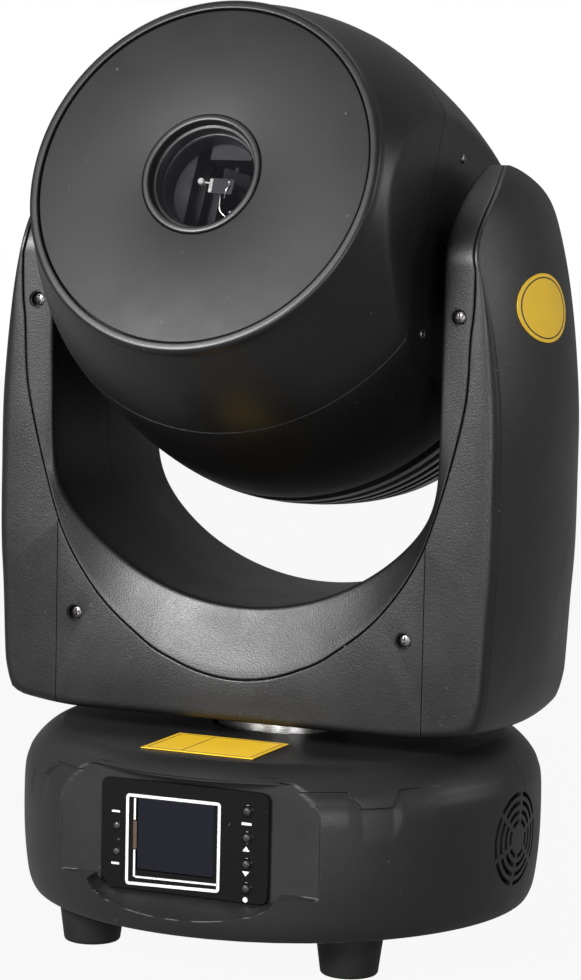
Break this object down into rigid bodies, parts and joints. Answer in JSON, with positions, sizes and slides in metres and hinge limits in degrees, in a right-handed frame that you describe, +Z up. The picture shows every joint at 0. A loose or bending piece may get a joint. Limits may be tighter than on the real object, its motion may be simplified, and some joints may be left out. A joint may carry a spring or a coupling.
{
  "type": "laser moving head",
  "caption": "Laser moving head light: round base with a control panel, a U-shaped yoke that pans, and a barrel head with a round aperture that tilts.",
  "frame": {"origin": "On the pan axis, at the flat underside of the base plate; the rubber feet reach 19 mm below it.", "axes": "+Z up along the pan axis, -Y to the front where the control panel and the aperture face, +X along the tilt axis, to the right of someone who looks at the front."},
  "size_m": [0.2696, 0.2757, 0.4342],
  "materials": {
    "moulded_black": "fine moulded grain, charcoal black",
    "gloss_panel": "smooth gloss black",
    "screen_grey": "dark grey screen, switched off",
    "lamp_lens": "clear lamp lens, unlit",
    "soft_rubber": "soft matt rubber",
    "plated_steel": "plated sheet steel",
    "bright_metal": "bright turned metal",
    "circuit_board": "laminate board",
    "yellow_vinyl": "printed yellow vinyl sticker",
    "window_pane": "clear coated glass"
  },
  "bodies": {
    "base": {"base_front_shell": "moulded_black", "base_back_shell": "moulded_black", "base_plate": "plated_steel", "foot_1": "soft_rubber", "foot_2": "soft_rubber", "foot_3": "soft_rubber", "foot_4": "soft_rubber", "control_panel": "gloss_panel", "lcd_screen": "screen_grey", "indicator_1": "lamp_lens", "indicator_2": "lamp_lens", "control_board": "circuit_board", "power_supply": "plated_steel", "base_fan_frame": "moulded_black", "connector_plate": "plated_steel", "power_inlet": "gloss_panel", "signal_in": "gloss_panel", "signal_out": "gloss_panel", "pan_bearing_housing": "plated_steel", "pan_bearing": "bright_metal", "pan_motor": "plated_steel", "pan_belt": "soft_rubber", "base_sticker": "yellow_vinyl"},
    "button_up": {"button_1": "soft_rubber"},
    "button_second": {"button_2": "soft_rubber"},
    "button_third": {"button_3": "soft_rubber"},
    "button_low": {"button_4": "soft_rubber"},
    "base_rotor": {"base_fan_rotor": "moulded_black"},
    "pan_pinion": {"pan_motor_pulley": "plated_steel"},
    "yoke": {"pan_shaft": "bright_metal", "pan_pulley": "moulded_black", "yoke_frame": "plated_steel", "yoke_front_cover": "moulded_black", "yoke_back_cover": "moulded_black", "yoke_inner_front": "moulded_black", "yoke_inner_back": "moulded_black", "arm_cover_left": "moulded_black", "arm_cover_right": "moulded_black", "arm_sticker": "yellow_vinyl", "tilt_bearing_left": "bright_metal", "tilt_bearing_right": "bright_metal", "tilt_motor": "plated_steel", "tilt_belt": "soft_rubber"},
    "tilt_pinion": {"tilt_motor_pulley": "plated_steel"},
    "head": {"tilt_shaft_left": "plated_steel", "tilt_shaft_right": "plated_steel", "head_front_shell": "moulded_black", "head_rear_upper": "moulded_black", "head_rear_lower": "moulded_black", "face_disc": "moulded_black", "aperture_ring": "moulded_black", "window_glass": "window_pane", "head_chassis": "plated_steel", "laser_module": "circuit_board", "heat_sink": "bright_metal", "head_fan_frame": "moulded_black", "scan_block": "plated_steel"},
    "head_rotor": {"head_fan_rotor": "moulded_black"},
    "lower_mirror": {"scan_mirror_lower": "bright_metal"},
    "upper_mirror": {"scan_mirror_upper": "bright_metal"}
  },
  "joints": [
    {"name": "pan", "type": "hinge", "parent": "base", "child": "yoke", "pos_m": [0, 0, 0.0874], "axis": [0, 0, 1], "range_deg": [-270, 270]},
    {"name": "tilt", "type": "hinge", "parent": "yoke", "child": "head", "pos_m": [0, 0, 0.2958], "axis": [1, 0, 0], "range_deg": [-202.4, 67.6]},
    {"name": "pan_motor_spin", "type": "hinge", "parent": "base", "child": "pan_pinion", "pos_m": [-0.06, 0.06, 0.054], "axis": [0, 0, 1], "range_deg": [-1418, 1418]},
    {"name": "tilt_motor_spin", "type": "hinge", "parent": "yoke", "child": "tilt_pinion", "pos_m": [0.11, 0, 0.13], "axis": [1, 0, 0], "range_deg": [-760, 254]},
    {"name": "base_fan_spin", "type": "hinge", "parent": "base", "child": "base_rotor", "pos_m": [0.1, -0.009, 0.037], "axis": [1, 0, 0], "continuous": true},
    {"name": "head_fan_spin", "type": "hinge", "parent": "head", "child": "head_rotor", "pos_m": [0, 0.06453, 0.26894], "axis": [0, -0.9232, 0.3843], "continuous": true},
    {"name": "lower_mirror_turn", "type": "hinge", "parent": "head", "child": "lower_mirror", "pos_m": [0.004, -0.06093, 0.32116], "axis": [1, 0, 0], "range_deg": [-12, 12]},
    {"name": "upper_mirror_turn", "type": "hinge", "parent": "head", "child": "upper_mirror", "pos_m": [0.004, -0.07521, 0.33631], "axis": [0, 0.3843, 0.9232], "range_deg": [-12, 12]},
    {"name": "button_1_press", "type": "slide", "parent": "base", "child": "button_up", "axis": [0, 1, 0], "range_m": [0, 0.0008], "stiffness_N_per_m": 500, "springref_m": -0.0004},
    {"name": "button_2_press", "type": "slide", "parent": "base", "child": "button_second", "axis": [0, 1, 0], "range_m": [0, 0.0008], "stiffness_N_per_m": 500, "springref_m": -0.0004},
    {"name": "button_3_press", "type": "slide", "parent": "base", "child": "button_third", "axis": [0, 1, 0], "range_m": [0, 0.0008], "stiffness_N_per_m": 500, "springref_m": -0.0004},
    {"name": "button_4_press", "type": "slide", "parent": "base", "child": "button_low", "axis": [0, 1, 0], "range_m": [0, 0.0008], "stiffness_N_per_m": 500, "springref_m": -0.0004}
  ],
  "couplings": [
    {"joint": "pan_motor_spin", "follows": "pan", "ratio": 5.25},
    {"joint": "tilt_motor_spin", "follows": "tilt", "ratio": 3.75}
  ]
}
